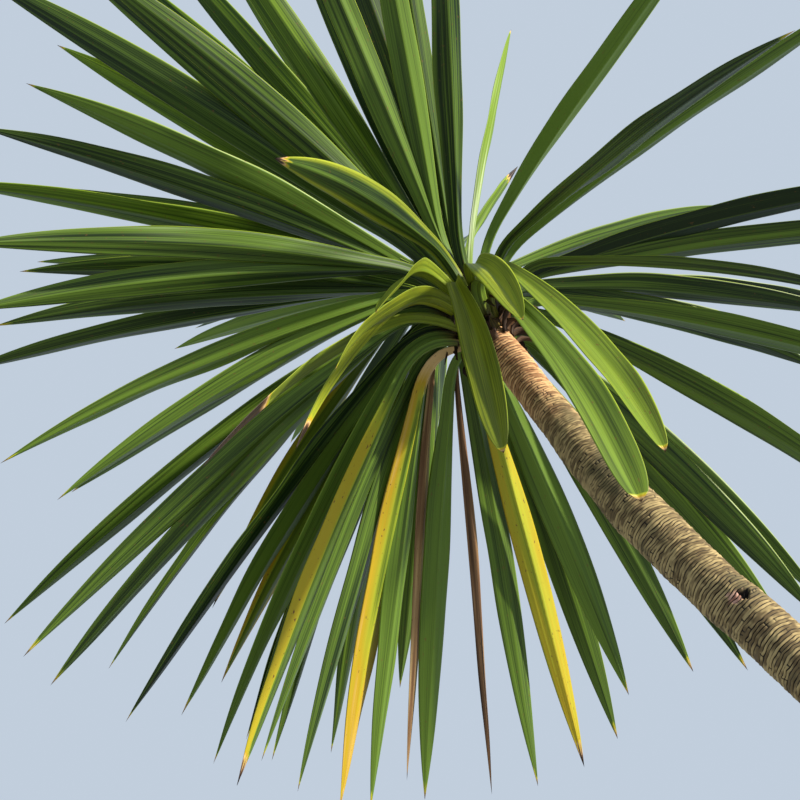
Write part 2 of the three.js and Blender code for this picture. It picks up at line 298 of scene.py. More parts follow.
def knot_relief(below, turn):
    """Height that the knot adds to the bark, how far a point is in its hole, and how far in its torn rim."""
    aside = (turn - math.radians(KNOT_TURN) + math.pi) % (2.0 * math.pi) - math.pi
    over, beside = below - KNOT_BELOW, aside * trunk_radius(below)
    coarse_rags = RAGGED * noise(turn * 6.0, below / RAG_LENGTH, 8)
    fine_rags = RAGGED * noise(turn * 15.0, below / FINE_RAG_LENGTH, 11)
    ragged = 1.0 + coarse_rags + fine_rags
    hole_away = np.maximum(np.abs(over) * 1.2 + 0.7 * beside, -beside) / KNOT_HOLE * ragged
    hole = 1.0 - smooth((hole_away - 0.7) / 0.5)
    tear_away = np.hypot(over + TEAR_OVER, beside + TEAR_BESIDE) / TEAR_SIZE * ragged
    torn = (1.0 - smooth((tear_away - 0.5) / 0.6)) * (1.0 - hole)
    swelling = KNOT_SWELL * np.exp(-((np.hypot(over + KNOT_SWELL_OVER, beside) / KNOT_SWELL_SIZE) ** 2))
    return swelling - KNOT_DEPTH * hole - TEAR_DEPTH * torn, hole, torn


print("knot", KNOT_BELOW, "m below the lowest leaf")

# %% Relief of the bark
GROOVE_SHARE, YOUNG_UNEVEN, GROWN_UNEVEN = 0.74, 0.40, 0.75
YOUNG_RELIEF = 0.65
PLATE_STEP, CHIP_HEIGHT = 0.0006, 0.0004
CRACK_DEPTH, CRACKS_AROUND, CRACK_SHARE, CRACK_RARITY = 0.0010, 34, 0.14, 0.62
CRACKED_LENGTH = 0.07
LUMP_HEIGHT, LUMP_LENGTH = 0.0024, 0.06


def bark_relief(ring, row, below, turn):
    """Height over the trunk's radius, how far a point is in a groove, how torn it is, and its tone."""
    around = turn / (2.0 * math.pi)
    number = np.ceil(ring)
    grown = smooth(below / RING_GROWS_OVER)
    uneven = mix(YOUNG_UNEVEN, GROWN_UNEVEN, grown) * noise_round(around, 16, number * 3.7, 3)
    strength = np.clip(GROOVE_SHARE + uneven, 0.1, 1.0)
    plate = ROW_HEIGHTS[row]
    height = PLATE_HEIGHT * mix(YOUNG_RELIEF, 1.0, grown) * strength * (plate - 1.0)
    groove = strength * (plate == 0.0)
    height = height + PLATE_STEP * noise_round(around, 9, number * 5.1, 4)
    height = height + CHIP_HEIGHT * noise_round(around, 44, number * 2.3, 5) * plate
    cracked = smooth((noise_round(around, 5, below / CRACKED_LENGTH, 6) + 0.25) / 0.4)
    cell = around * CRACKS_AROUND + 9.0 * noise(np.zeros_like(around), number * 1.7, 10)
    chosen = noise(np.floor(cell), number * 4.3, 7, CRACKS_AROUND) > CRACK_RARITY
    crack = cracked * (chosen & (cell % 1.0 < CRACK_SHARE))
    height = height - CRACK_DEPTH * grown * crack
    height = height + LUMP_HEIGHT * noise_round(around, 5, below / LUMP_LENGTH, 9)
    knot, hole, torn = knot_relief(below, turn)
    plate_tone = 0.5 + 0.5 * noise_round(around, 9, number * 2.9, 12)
    tone = plate_tone + 0.3 * noise_round(around, 40, ring * 1.7, 13)
    return height + knot, np.clip(groove + 0.8 * crack + hole, 0.0, 1.0), torn, tone


print("cracks are", CRACK_DEPTH * 1000, "mm deep, and slow lumps", LUMP_HEIGHT * 1000, "mm high")


# %% Where the trunk is at any distance below the head
def trunk_frame(below):
    """The trunk's middle and its two directions across, at distances below the lowest leaf."""
    place = np.clip((TRUNK_LENGTH - below) / TRUNK_LENGTH, 0.0, 1.0) * PATH_STEPS
    steps = np.arange(PATH_STEPS + 1)
    middle = np.stack([np.interp(place, steps, values) for values in np.array(path_points).T], axis=-1)
    middle += np.maximum(0.0, -below)[..., None] * np.array(AXIS)
    along = np.stack([np.interp(place, steps, values) for values in np.array(path_directions).T], axis=-1)
    along /= np.linalg.norm(along, axis=-1, keepdims=True)
    across = np.array(SIDE) - along * (along @ np.array(SIDE))[..., None]
    across /= np.linalg.norm(across, axis=-1, keepdims=True)
    return middle, across, np.cross(along, across)


print("half a metre below the head:", np.round(trunk_frame(np.array([0.5]))[0][0], 3))

# %% The bark's three pieces
# Each line: a name, how far its top and its foot are below the head, points round it and strips on its map.
BARK_PIECES = [
    ("bark_crown", -CROWN_HEIGHT, 0.20, 144, 2),
    ("bark_upper", 0.20, 0.78, 144, 2),
    ("bark_lower", 0.78, TRUNK_LENGTH, 60, 3),
]


def make_bark(name, top, foot, places, strips):
    """Bark from one distance below the head to another, laid out on its map in strips side by side."""
    foot_ring, top_ring = np.ceil(np.interp([foot, top], below_head, ring_count))
    whole_rings = np.arange(foot_ring, top_ring, -1.0)
    ring = np.append((whole_rings[:, None] - ROW_PLACES).ravel(), top_ring)
    row = np.append(np.tile(np.arange(len(ROW_PLACES)), len(whole_rings)), 0)
    turn = np.arange(places) * 2.0 * math.pi / places
    ring, row, turn = ring[:, None], row[:, None], turn[None, :]
    below = np.interp(ring + wavering(ring, turn / (2.0 * math.pi)), ring_count, below_head)
    height, dark, torn, tone = bark_relief(ring, row, below, turn)
    radius = (trunk_radius(below) + height)[..., None]
    middle, across, other = trunk_frame(below)
    rings = middle + radius * (np.cos(turn)[..., None] * across + np.sin(turn)[..., None] * other)
    rows = len(rings)
    piece = skin(name, [(rings[0].mean(axis=0), rings, rings[-1].mean(axis=0))])
    mark_points(piece, "groove", np.append(dark.ravel(), [1.0, 1.0]))
    mark_points(piece, "torn", np.append(torn.ravel(), [0.0, 0.0]))
    mark_points(piece, "below", np.append(below.ravel(), [foot, top]))
    mark_points(piece, "tone", np.append(tone.ravel(), [0.5, 0.5]))
    per_strip = math.ceil(rows / strips)

    def on_the_map(row, place, of_row):
        strip = np.floor(of_row / per_strip)
        u = (strip + inset(place / places)) / strips
        return u, inset((row - strip * per_strip + 1.0) / (per_strip + 1.0))

    lay_map(piece, "OFBake", rows, places, on_the_map)
    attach(piece, "root")
    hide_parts("trunk")
    print(name, "-", rows, "rows of", places, "points,", 2 * rows * places, "triangles")
    return piece


barks = [make_bark(*values) for values in BARK_PIECES]

# %% [markdown]
# ## A kit for finishes
# A finish in Blender is a graph of nodes. Wired up one by one, each node would take four or five lines. The
# few functions here add one node each and return its output, so that a finish below reads like a sum.
# Colours are given as a screen shows them, from 0 to 255, and turned into the light values that the shader
# wants.


# %% Nodes as functions
def paint(red, green, blue):
    """The light values of a colour that is given as a screen shows it."""
    levels = [level / 255.0 for level in (red, green, blue)]
    return tuple(v / 12.92 if v <= 0.04045 else ((v + 0.055) / 1.055) ** 2.4 for v in levels) + (1.0,)


def wire(tree, socket, value):
    """Feeds a socket with another node's output, or sets it to a plain value."""
    if isinstance(value, bpy.types.NodeSocket):
        tree.links.new(value, socket)
    else:
        socket.default_value = value


def maths(tree, operation, *values):
    node = tree.nodes.new("ShaderNodeMath")
    node.operation = operation
    for socket, value in zip(node.inputs, values):
        wire(tree, socket, value)
    return node.outputs[0]


def between(tree, value, low, high):
    """0 below `low`, 1 above `high`, and a smooth step between them."""
    node = tree.nodes.new("ShaderNodeMapRange")
    node.interpolation_type = "SMOOTHSTEP"
    wire(tree, node.inputs["Value"], value)
    node.inputs["From Min"].default_value = low
    node.inputs["From Max"].default_value = high
    return node.outputs[0]


def tint(tree, share, low, high):
    """A mix of two colours, which go in at the node's sockets 6 and 7 and come out at its output 2."""
    node = tree.nodes.new("ShaderNodeMix")
    node.data_type = "RGBA"
    wire(tree, node.inputs["Factor"], share)
    wire(tree, node.inputs[6], low)
    wire(tree, node.inputs[7], high)
    return node.outputs[2]


def ramp(tree, value, stops):
    """A row of colours, each at its place from 0 to 1."""
    node = tree.nodes.new("ShaderNodeValToRGB")
    wire(tree, node.inputs[0], value)
    elements = node.color_ramp.elements
    while len(elements) < len(stops):
        elements.new(0.5)
    for element, (place, colour) in zip(elements, stops):
        element.position = place
        element.color = colour
    return node.outputs[0]


# %% Readings and noise as functions
def reading(tree, name):
    """A number that mark_points stored."""
    node = tree.nodes.new("ShaderNodeAttribute")
    node.attribute_name = name
    return node.outputs["Fac"]


def place_on(tree, x, y, z):
    node = tree.nodes.new("ShaderNodeCombineXYZ")
    for socket, value in zip(node.inputs, (x, y, z)):
        wire(tree, socket, value)
    return node.outputs[0]


def mottle(tree, vector, scale, detail=3.0):
    """Cloudy noise, about 0.3 to 0.7."""
    node = tree.nodes.new("ShaderNodeTexNoise")
    wire(tree, node.inputs["Vector"], vector)
    node.inputs["Scale"].default_value = scale
    node.inputs["Detail"].default_value = detail
    return node.outputs[0]


def new_finish(name, roughness):
    material = bpy.data.materials.new(name)
    material.use_nodes = True
    shader = material.node_tree.nodes["Principled BSDF"]
    shader.inputs["Roughness"].default_value = roughness
    return material, material.node_tree, shader


def dress(piece, material):
    piece.data.materials.append(material)


print("finish kit ready")

# %% [markdown]
# ## The finish of the bark
# Among the leaf bases the stem is still green. For some 15 cm under the lowest leaves the bark is young:
# tan, thin and papery. Further down it is weathered to khaki. Its grooves, its cracks and the knot's hole
# are painted dark as painted shade in those hollows. Beside the knot the bark is torn and shows its pinkish
# inside. An image could be wrapped round the trunk, but its rings would miss the real ones. The mesh
# already knows which points lie in a groove or a tear, so the colours follow the relief exactly.

# %% Bark
GREEN_FROM, GREEN_FULL = -0.01, -0.06
WORN_FROM, WORN_FULL, WORN_RAGS = 0.15, 0.26, 0.10


def bark_finish():
    material, tree, shader = new_finish("bark", 0.9)
    spot = tree.nodes.new("ShaderNodeTexCoord").outputs["Object"]
    below = reading(tree, "below")
    ragged = maths(tree, "ADD", below, maths(tree, "MULTIPLY", mottle(tree, spot, 40.0), WORN_RAGS))
    tone = between(tree, reading(tree, "tone"), 0.15, 0.85)
    weathered = between(tree, ragged, WORN_FROM, WORN_FULL)
    young = tint(tree, tone, paint(150, 106, 66), paint(210, 164, 114))
    worn = tint(tree, tone, paint(100, 82, 50), paint(168, 146, 98))
    worn = tint(tree, between(tree, mottle(tree, spot, 14.0), 0.52, 0.70), worn, paint(96, 86, 54))
    colour = tint(tree, weathered, young, worn)
    colour = tint(tree, between(tree, below, GREEN_FROM, GREEN_FULL), colour, paint(74, 88, 34))
    inside = tint(tree, tone, paint(140, 96, 76), paint(214, 168, 148))
    colour = tint(tree, reading(tree, "torn"), colour, inside)
    # Painted shade: grooves, cracks and the knot's hole are darkened, darker still on the weathered bark.
    groove_shade = tint(tree, weathered, paint(60, 34, 18), paint(26, 19, 12))
    colour = tint(tree, between(tree, reading(tree, "groove"), 0.05, 0.65), colour, groove_shade)
    wire(tree, shader.inputs["Base Color"], colour)
    return material


bark = bark_finish()
for piece in barks:
    dress(piece, bark)
print("bark finish:", len(bark.node_tree.nodes), "nodes")

# %% [markdown]
# ## How the leaves lie
# New leaves open from the tip of the stem one after another, each about 137.5 degrees round from the last,
# so the oldest sit lowest and have bent furthest back. The solids follow this rule, and the same rule is
# written out here again: a leaf's rank in the spiral gives its compass angle, its opening from the stem and
# its length.
#
# A rule alone gives a tree of this kind, but not this tree, so ODD_LEAVES holds what differs for 44 leaves.
# It is the weak point of this file. Separate search programs found most of its values, by trying angles and
# lengths until a leaf came over its place in the picture, and the values were then copied in. It would be
# better to name those places here, and to work the angles out from them.

# %% The head's values
LEAF_COUNT, GOLDEN_ANGLE, FIRST_COMPASS = 90, 137.508, 20.0
HEART_RANK = 65
LEAF_LENGTH, LEAF_WIDTH, ROOT_WIDTH = 0.720, 0.046, 0.012
YOUNG_OPENING, OLD_OPENING, OPENING_POWER = 12.0, 128.0, 0.9
LOW_SIDE_OPENING, LOW_SIDE_COMPASS = 34.0, 222.0
YOUNG_START, OLD_START = 16.0, 50.0
BEND_LENGTH = 0.130
YOUNG_DROOP, OLD_DROOP, DROOP_POWER = 0.10, 0.35, 1.3
SIDE_SWING, SIDE_COMPASS, SIDE_SPREAD, SIDE_RANK = -18.0, 318.0, 34.0, 42
TWIST = 16.0
ANGLE_SCATTER, LENGTH_SCATTER, DROOP_SCATTER, WIDTH_SCATTER = 3.0, 0.08, 0.4, 0.08
LEAF_SEED = 1000
LEAF_STEPS = 36
SEAT_GAP, SHEATH_THICKNESS = 0.0003, 0.0026
SHED = (11, 29, 32, 40, 45, 50, 53, 58, 61, 69)
YELLOW, DRY = (4, 7), (25, 33)

# For each rank: its own swing and opening in degrees, droop, length and width. None stands for the rule's.
OWN_HABITS = ("swing", "opening", "droop", "length", "wide")
ODD_LEAVES = {
    0: (8, 156, 0.9, 0.66),
    1: (6, 137),
    2: (-25, 123, None, 0.74),
    3: (8, 137),
    5: (-4, 112, 0.9, 0.44),
    7: (-16, 122, 0.2, 0.74),
    8: (-1, 157, 0.9, 0.6),
    10: (14, 113, 0.6, 0.62),
    12: (2, 119, 0.6, 0.74, 1.0),
    13: (-8, 155, 1.0, 0.5),
    14: (-12, 139),
    15: (-10, 120, None, 0.74),
    16: (-5, 113),
    18: (-1, 121, 0.9, 0.55),
    20: (8, 124, 0.2, 0.74),
    21: (0, 141, 1.0, 0.34),
    22: (-4, 127),
    23: (-14, 103, None, 0.8),
    25: (6, 126, 0.4, 0.76, 0.4),
    26: (-1, 112, 1.0, 0.36),
    28: (7, 110),
    30: (19, 125),
    33: (-2, 125, 0.2, 0.74, 0.5),
    34: (-18, 101, None, 0.6),
    35: (-7, 89),
    36: (0, 99, None, 0.8),
    38: (11, 129, 0.6),
    39: (-18, 79),
    41: (2, 123, None, 0.74),
    46: (4, 112),
    47: (-8, 64, None, 0.76),
    48: (-1, 69),
    49: (-1, 102, 0.5),
    54: (2, 123, 0.2, 0.74),
    57: (-2, 70, None, 0.76),
    60: (-12, 46, None, 0.84, 1.15),
    65: (3, 66),
    66: (0, 38, None, 0.5, 0.45),
    73: (-2, 47),
    74: (6, 47, None, 0.3, 0.6),
    75: (4, 50, None, 0.6),
    78: (0, 48),
    81: (-12, 34, None, 0.76),
    86: (0, 11, None, 0.72),
}
ranks = [rank for rank in range(LEAF_COUNT) if rank not in SHED]
print(len(ranks), "leaves,", len(ODD_LEAVES), "of them with a habit of their own")


# %% How one leaf lies
def dice(seed, count):
    """Even random numbers from -1 to 1, the same ones that the solids' leaves were thrown with."""
    mask = 0xFFFFFFFF
    state, draws = seed, []
    for _ in range(count):
        state = (state + 0x6D2B79F5) & mask
        t = ((state ^ (state >> 15)) * (state | 1)) & mask
        t ^= (t + (((t ^ (t >> 7)) * (t | 61)) & mask)) & mask
        draws.append((t ^ (t >> 14)) / 2**31 - 1.0)
    return draws


def leaf_habit(rank):
    """A leaf's place and pose. Its angles are in degrees, apart from its compass and its start."""
    draw = dice(LEAF_SEED + rank, 6)
    age = 1.0 - rank / (LEAF_COUNT - 1)
    compass = FIRST_COMPASS + GOLDEN_ANGLE * rank
    aside = (compass - SIDE_COMPASS + 180.0) % 360.0 - 180.0
    gathered = SIDE_SWING * math.exp(-((aside / SIDE_SPREAD) ** 2)) if rank < SIDE_RANK else 0.0
    low = max(0.0, math.cos(math.radians(compass - LOW_SIDE_COMPASS))) ** 2
    opened = mix(YOUNG_OPENING, OLD_OPENING, age**OPENING_POWER) + LOW_SIDE_OPENING * low
    habit = {
        "rank": rank,
        "age": age,
        "compass": math.radians(compass),
        "height": CROWN_HEIGHT * (1.0 - age),
        "swing": gathered + ANGLE_SCATTER * draw[0],
        "opening": min(OLD_OPENING, opened) + ANGLE_SCATTER * draw[1],
        "length": LEAF_LENGTH * (1.0 + LENGTH_SCATTER * draw[2]),
        "droop": mix(YOUNG_DROOP, OLD_DROOP, age) * (1.0 + DROOP_SCATTER * draw[3]),
        "twist": TWIST * draw[4],
        "wide": 1.0 + WIDTH_SCATTER * draw[5],
    }
    own = zip(OWN_HABITS, ODD_LEAVES.get(rank, ()))
    habit.update({key: value for key, value in own if value is not None})
    habit["start"] = math.radians(min(habit["opening"], mix(YOUNG_START, OLD_START, age)))
    return habit


print("leaf 20:", {key: round(value, 3) for key, value in leaf_habit(20).items()})

# %% The middle line of a leaf
head = Matrix.Translation(CROWN_BASE) @ Matrix((SIDE, AXIS.cross(SIDE), AXIS)).transposed().to_4x4()


def leaf_line(habit):
    """Points, directions and directions across along a leaf, each of shape (LEAF_STEPS + 1, 3)."""
    turn = head @ Matrix.Rotation(habit["compass"], 4, "Z")
    turn_only = turn.to_3x3()
    down = turn_only.inverted() @ -UP
    gap = SEAT_GAP + SHEATH_THICKNESS / 2 * math.cos(habit["start"])
    seat = float(trunk_radius(-habit["height"])) + gap
    point, wide, before = Vector((seat, 0.0, habit["height"])), Vector((0.0, 1.0, 0.0)), None
    points, directions, wides = [], [], []
    for step in range(LEAF_STEPS + 1):
        share = step / LEAF_STEPS
        turned = float(smooth(habit["length"] * share / BEND_LENGTH))
        opening = mix(habit["start"], math.radians(habit["opening"]), turned)
        direction = leaning(opening, math.radians(habit["swing"] * turned))
        direction = (direction + down * (habit["droop"] * share**DROOP_POWER)).normalized()
        if before is not None:
            wide = before.rotation_difference(direction) @ wide
        twisted = Quaternion(direction, math.radians(habit["twist"]) * share) @ wide
        points.append(turn @ point)
        directions.append(turn_only @ direction)
        wides.append(turn_only @ twisted)
        point = point + direction * (habit["length"] / LEAF_STEPS)
        before = direction
    return np.array(points), np.array(directions), np.array(wides)


print("leaf 20 ends at", np.round(leaf_line(leaf_habit(20))[0][-1], 3))

# %% [markdown]
# ## The blade of a leaf
# A real blade is under a millimetre thick and far from flat. At its root it clasps the stem, then it
# narrows to a channelled neck, and then it opens to a shallow V with a thick midrib under it. Fine pleats
# run its whole length, its edges wave slowly, and it ends in a fine dry thread. A flat strip with a bump
# map would be lighter, but would look like paper. Here each of these traits is a line or two of the
# section.

# %% Sizes of the blade
STATIONS, ACROSS = 56, 20
NECK_SHARE, NECK_AT, WIDEST_AT, TIP_POWER, BLUNT_POWER = 0.42, 0.09, 0.50, 2.5, 5.0
CHANNEL_FOLD, BLADE_FOLD, FOLD_ROUNDING = 0.70, 0.34, 0.10
SHEATH_WIDTH, SHEATH_AT = 0.032, 0.05
BLADE_THICKNESS, RIB_THICKNESS, RIB_HALF = 0.0009, 0.0020, 0.0028
PLEAT_HEIGHT, PLEATS = 0.0004, 7.0
WAVE_SHARE, WAVES = 0.16, 7.0
OPENED_AT = 0.2
WANDER, WANDER_SIDEWAYS = 0.004, 0.6
ROOT_DEPTH = 0.003
NOISE_APART = 17.3

# Each line: a leaf's rank, its breadth over the rule's, and how blunt its tip is, from 0 to 1.
BROAD_AND_BLUNT = {
    0: (1.08, 0.9),
    7: (1.22, 0.0),
    8: (0.98, 0.5),
    13: (0.92, 0.5),
    21: (0.92, 0.2),
    66: (1.50, 0.3),
}
BLUNT_WIDEST_AT = 0.74

station_places = LEAF_STEPS * np.linspace(0.0, 1.0, STATIONS + 1)[:-1] ** 1.2
share = station_places[:, None] / LEAF_STEPS
ring_place = np.arange(2 * ACROSS)
outward, homeward = 2.0 * ring_place / ACROSS - 1.0, 3.0 - 2.0 * ring_place / ACROSS
across = np.where(ring_place <= ACROSS, outward, homeward)[None, :]
upper_side = np.sign(ring_place % ACROSS) * np.where(ring_place > ACROSS, 1.0, -1.0)[None, :]


def finer(values, places):
    """Values at places between the given ones, on a smooth curve through them all."""
    step = np.minimum(places.astype(int), len(values) - 2)
    t = (places - step)[:, None]
    padded = np.vstack([2 * values[0] - values[1], values, 2 * values[-1] - values[-2]])
    a, b, c, d = (padded[step + k] for k in range(4))
    return b + 0.5 * t * (c - a + t * (2 * a - 5 * b + 4 * c - d + t * (3 * (b - c) + d - a)))


def width_share(share, blunt):
    neck = mix(ROOT_WIDTH / LEAF_WIDTH, NECK_SHARE, smooth(share / NECK_AT))
    widest_at = mix(WIDEST_AT, BLUNT_WIDEST_AT, blunt)
    belly = mix(NECK_SHARE, 1.0, smooth((share - NECK_AT) / (widest_at - NECK_AT)))
    outer = np.maximum(0.0, (share - widest_at) / (1.0 - widest_at))
    tip = mix(1.0 - outer**TIP_POWER, np.sqrt(1.0 - outer**BLUNT_POWER), blunt)
    return np.where(share < NECK_AT, neck, np.where(share < widest_at, belly, tip))


print(STATIONS, "cross sections of", 2 * ACROSS, "points")


# %% Cross sections of one blade
def blade_rings(habit):
    """Rings of a blade from root to tip, closed round both faces, and its two end points."""
    line, directions, wides = (finer(values, station_places) for values in leaf_line(habit))
    faces = np.cross(directions, wides)
    seed = NOISE_APART * habit["rank"]
    broad, blunt = BROAD_AND_BLUNT.get(habit["rank"], (1.0, 0.0))
    half = LEAF_WIDTH * habit["wide"] * broad * width_share(share, blunt) / 2
    sheath = 1.0 - smooth(share / SHEATH_AT)
    half = np.maximum(half, SHEATH_WIDTH / 2 * sheath)
    sideways = across * half
    past_neck = smooth((share - NECK_AT) / WIDEST_AT)
    channel = mix(CHANNEL_FOLD * smooth(share / NECK_AT), BLADE_FOLD, past_neck)
    channel = np.maximum(channel, habit.get("furled", 0.0))
    raised = half * channel * (np.hypot(across, FOLD_ROUNDING) - FOLD_ROUNDING)
    opened = smooth(share / OPENED_AT)
    body = 1.0 - across**6
    raised = raised + PLEAT_HEIGHT * opened * body * noise(PLEATS * across + seed, 1.5 * share + seed, 20)
    wave = noise(WAVES * share + seed, 0.5 * np.sign(across) + seed, 21)
    raised = raised + WAVE_SHARE * half * opened * across**2 * wave
    clasp = sideways / STEM_RADIUS
    sideways = mix(sideways, STEM_RADIUS * np.sin(clasp), sheath)
    raised = mix(raised, STEM_RADIUS * (1.0 - np.cos(clasp)), sheath)
    thin = np.minimum(1.0, 12.0 * (1.0 - share))
    skin_half = BLADE_THICKNESS / 2 * thin * (1.0 - 0.5 * across**2)
    rib = RIB_THICKNESS * (1.0 - share) * thin * np.exp(-((across * half / RIB_HALF) ** 2))
    raised = raised + upper_side * skin_half - rib * (upper_side < 0)
    sway = faces * noise(3.0 * share + seed, share + seed, 22)
    sway = sway + WANDER_SIDEWAYS * wides * noise(2.0 * share + seed, share + seed, 23)
    line = line + WANDER * opened * sway
    rings = line[:, None] + sideways[..., None] * wides[:, None] + raised[..., None] * faces[:, None]
    step = habit["length"] * (1.0 - float(share[-1, 0]))
    return line[0] - directions[0] * ROOT_DEPTH, rings, line[-1] + directions[-1] * step


print("leaf 20 has", blade_rings(leaf_habit(20))[1].shape[:2], "points")

# %% [markdown]
# ## How far each leaf has dried, and its painted light
# A leaf of this head dies from its tip: yellow first, then straw, then dark brown. Two leaves have turned
# golden and two hang dead. A finish for each state would leave a seam on a leaf that is half green and half
# gold, so each point of a blade stores how far it has dried, and one finish paints them all. Most leaves
# only get a dry tip that grows with their age. Those that differ are listed.
# The same number holds painted light too: a yellow-green glow on the near leaves and a highlight at leaf 7's
# base.

# %% Leaves that have dried more than their age says, and leaves with painted light
# The ranks from 100 on are those of the extra blades in the bundles, further down.
WITHERED_AND_LIT = {
    # Leaves 0, 5, 8, 13, 21 and 26 hang nearest; their small all_over is painted glow, for sunlight shining
    # through.
    0: {"all_over": 0.07, "tip_from": 0.985},
    2: {"one_side": 0.34, "tip_from": 0.94},
    4: {"all_over": 0.33, "green_core": 0.14, "tip_from": 0.93},
    5: {"all_over": 0.13, "tip_from": 0.97},
    # Leaf 7's pale base is a painted highlight, a cream patch where the sun strikes it.
    7: {"all_over": 0.42, "green_core": 0.34, "sunlit_base_highlight": 0.62, "tip_from": 0.95},
    8: {"all_over": 0.10, "tip_from": 0.985},
    10: {"all_over": 0.12, "tip_from": 0.72},
    13: {"all_over": 0.12, "tip_from": 0.985},
    18: {"all_over": 0.18, "tip_from": 0.88},
    21: {"all_over": 0.14, "tip_from": 0.985},
    25: {"all_over": 0.86, "tip_from": 0.95},
    26: {"all_over": 0.13, "tip_from": 0.97},
    33: {"all_over": 0.74, "tip_from": 0.95},
    34: {"edges": 0.16, "tip_from": 0.93},
    66: {"all_over": 0.05},
    74: {"all_over": 0.05, "tip_from": 0.84},
    102: {"all_over": 0.10, "edges": 0.30, "tip_from": 0.95},
    103: {"all_over": 0.08, "edges": 0.26, "tip_from": 0.94},
}


def wither_and_light_of(habit):
    """How far a blade's points have browned: 0 fresh, 0.4 golden, 1 dark brown, plus painted glow and
    highlight.
    """
    own = WITHERED_AND_LIT.get(habit["rank"], {})
    one_side, edges, sunlit_base_highlight = (own.get(key, 0.0) for key in ("one_side", "edges", "sunlit_base_highlight"))
    seed = NOISE_APART * habit["rank"]
    patchy = noise(4.0 * across + seed, 9.0 * share + seed, 30)
    tip_from = own.get("tip_from", mix(0.995, 0.960, habit["age"]))
    # On the nearest leaves all_over is painted glow, a yellow-green for sunlight shining through them.
    dried_and_lit = own.get("all_over", 0.0) * (1.0 + 0.15 * patchy)
    core = np.exp(-((across / 0.4) ** 2)) * (1.0 - smooth((share - 0.5) / 0.4))
    dried_and_lit = dried_and_lit - own.get("green_core", 0.0) * core
    dried_and_lit = dried_and_lit + one_side * smooth((across - 0.05) / 0.2) * smooth((share - 0.15) / 0.2)
    dried_and_lit = dried_and_lit + edges * smooth((np.abs(across) - 0.5) / 0.3)
    # Painted highlight: a pale cream patch at the base of leaf 7, where the sun strikes it.
    dried_and_lit = np.maximum(dried_and_lit, sunlit_base_highlight * (1.0 - smooth((share - 0.10) / 0.14)))
    tip = smooth((share - tip_from + 0.02 * patchy) / 0.04)
    return np.maximum(dried_and_lit, tip)


print("leaves with a look of their own:", len(WITHERED_AND_LIT))

# %% [markdown]
# ## The finish of a leaf
# A fresh leaf is dark green with lighter lines along it, a pale rim and midrib, and a dry, papery root that
# is painted darker as painted shade near the stem. An image of a leaf could be wrapped round every blade,
# but all would be alike. Noise that is drawn out along the blade, and read at another place for each leaf,
# gives every one its own lines. The dryness then picks a colour from a row; the same number also paints a
# yellow-green glow on the near leaves and a pale highlight at leaf 7's base, both painted light.

# %% One finish for every leaf, in four colours
LEAF_SHINE = 0.22


def blade_noise(tree, blade_place, across_bumps, along_bumps):
    """Noise that is drawn out along a blade, and different on each leaf."""
    u, v, leaf = blade_place
    across_by = maths(tree, "MULTIPLY", u, across_bumps)
    along_by = maths(tree, "MULTIPLY", v, along_bumps)
    return mottle(tree, place_on(tree, across_by, along_by, leaf), 1.0)


